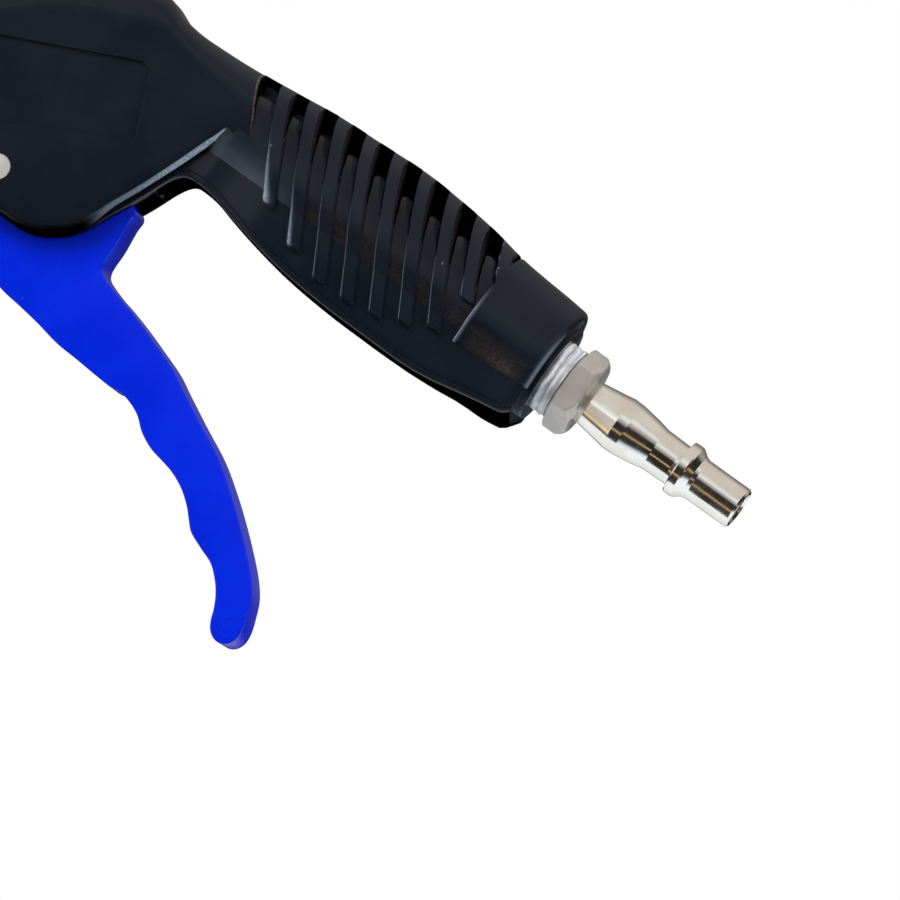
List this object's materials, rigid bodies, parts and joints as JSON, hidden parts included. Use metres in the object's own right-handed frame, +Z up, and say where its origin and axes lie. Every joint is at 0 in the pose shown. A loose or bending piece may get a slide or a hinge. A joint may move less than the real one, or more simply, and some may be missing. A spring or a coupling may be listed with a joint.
{
  "type": "air duster gun",
  "caption": "Pneumatic air duster with a ribbed clamshell pistol housing, a long swinging trigger lever, a poppet valve, a hang eye, a straight nozzle and a threaded quick-connect plug.",
  "frame": {"origin": "centre of the hang eye, on the seam between the two shells", "axes": "+X along the nozzle toward its outlet, +Z up, +Y across the gun toward the left shell that faces the camera"},
  "size_m": [0.2478, 0.0266, 0.1341],
  "materials": {
    "housing": "moulded black plastic, finely textured",
    "trigger": "moulded bright blue plastic, satin gloss",
    "plated_steel": "bright zinc plated",
    "brass": "machined",
    "rubber": "moulded nitrile",
    "air_tube": "extruded nylon",
    "plug": "nickel plated, polished",
    "tape": "wound thread tape, slightly folded",
    "nozzle": "moulded black plastic, smooth"
  },
  "bodies": {
    "gun_body": {"left_shell": "housing", "right_shell": "housing", "body_screws": "plated_steel", "trigger_pin": "plated_steel", "valve_block": "brass", "valve_spring": "plated_steel", "valve_cap": "brass", "stem_o_ring": "rubber", "cap_o_ring": "rubber", "inlet_insert": "brass", "tube_o_rings": "rubber", "air_tube": "air_tube", "inlet_plug": "plug", "thread_tape": "tape", "nozzle_adaptor": "plug", "nozzle_o_ring": "rubber", "nozzle_tube": "nozzle", "nozzle_tip": "nozzle"},
    "trigger_lever": {"trigger": "trigger"},
    "stem_group": {"valve_stem": "plated_steel", "valve_poppet": "brass", "seat_seal": "rubber"}
  },
  "joints": [
    {"name": "trigger_pull", "type": "hinge", "parent": "gun_body", "child": "trigger_lever", "pos_m": [0.016, 0, -0.0404], "axis": [0, 1, 0], "range_deg": [0, 12], "stiffness_Nm_per_rad": 0.384, "springref_deg": -27.5},
    {"name": "stem_lift", "type": "slide", "parent": "gun_body", "child": "stem_group", "axis": [0, 0, 1], "range_m": [0, 0.0027], "deforming": ["valve_spring"]}
  ],
  "couplings": [
    {"joint": "stem_lift", "follows": "trigger_pull", "m_per_rad": 0.0124}
  ]
}
